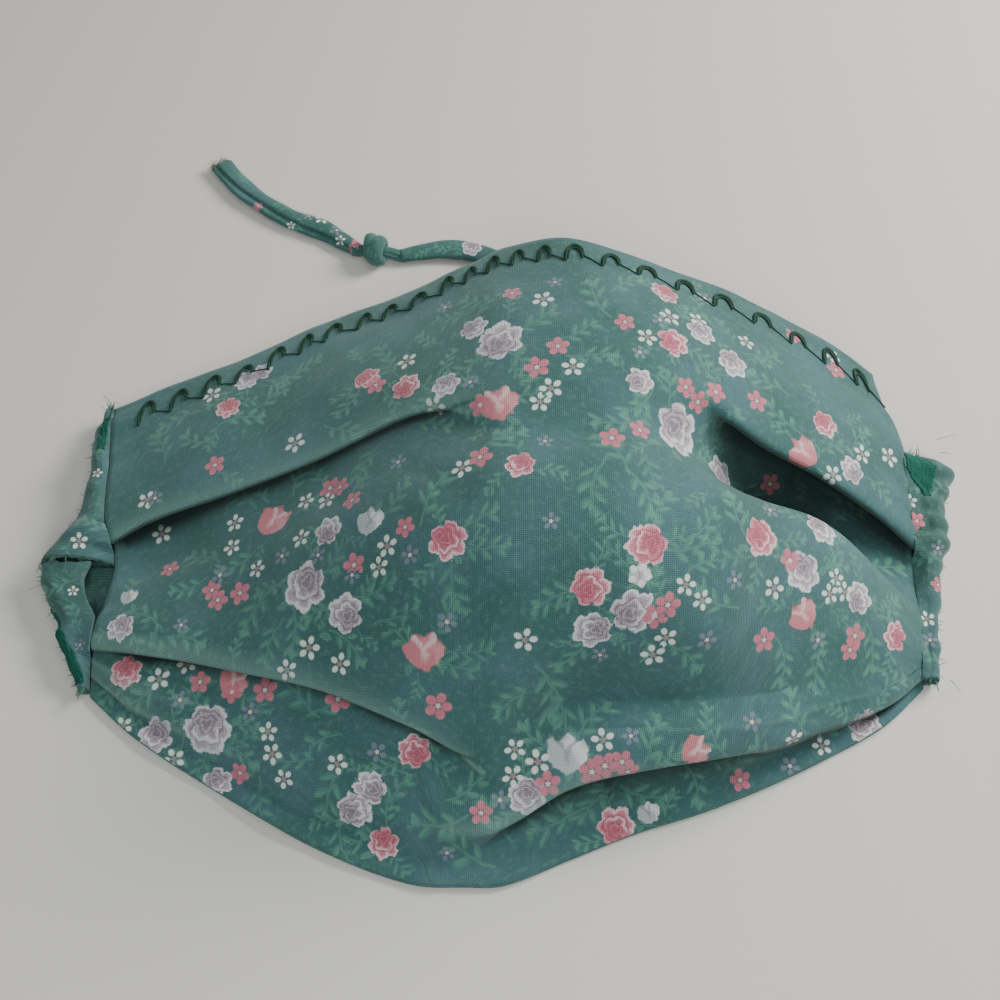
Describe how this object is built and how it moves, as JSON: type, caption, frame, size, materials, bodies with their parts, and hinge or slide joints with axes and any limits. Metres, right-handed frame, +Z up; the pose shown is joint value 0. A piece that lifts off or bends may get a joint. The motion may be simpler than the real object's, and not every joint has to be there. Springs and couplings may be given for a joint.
{
  "type": "pleated cloth face mask",
  "caption": "Handmade pleated cotton face mask with a small floral print, folded side casings and one knotted cloth tie, lying on its rim with its outer side up.",
  "frame": {"origin": "middle of the mask without its tie, on the surface that it lies on", "axes": "+X to the mask's right seam as seen from its lower hem, +Y to the top hem, +Z up, out of the mask's outer side"},
  "size_m": [0.1958, 0.189, 0.0455],
  "materials": {
    "printed_cotton": "woven cotton, teal green with a small floral print, matt",
    "casing_cotton": "woven cotton, teal green, gathered, matt",
    "lining_cotton": "bright green woven cotton, matt",
    "tie_cotton": "folded woven cotton strip with frayed raw edges"
  },
  "bodies": {
    "root": {"mask_panel": "printed_cotton", "left_band_upper": "casing_cotton", "left_band_lower": "casing_cotton", "right_band": "casing_cotton", "left_lining_top": "lining_cotton", "left_lining_edge": "lining_cotton", "right_lining_patch": "lining_cotton", "tie_strand": "tie_cotton", "tie_knot": "tie_cotton", "tie_tail": "tie_cotton"}
  },
  "joints": []
}
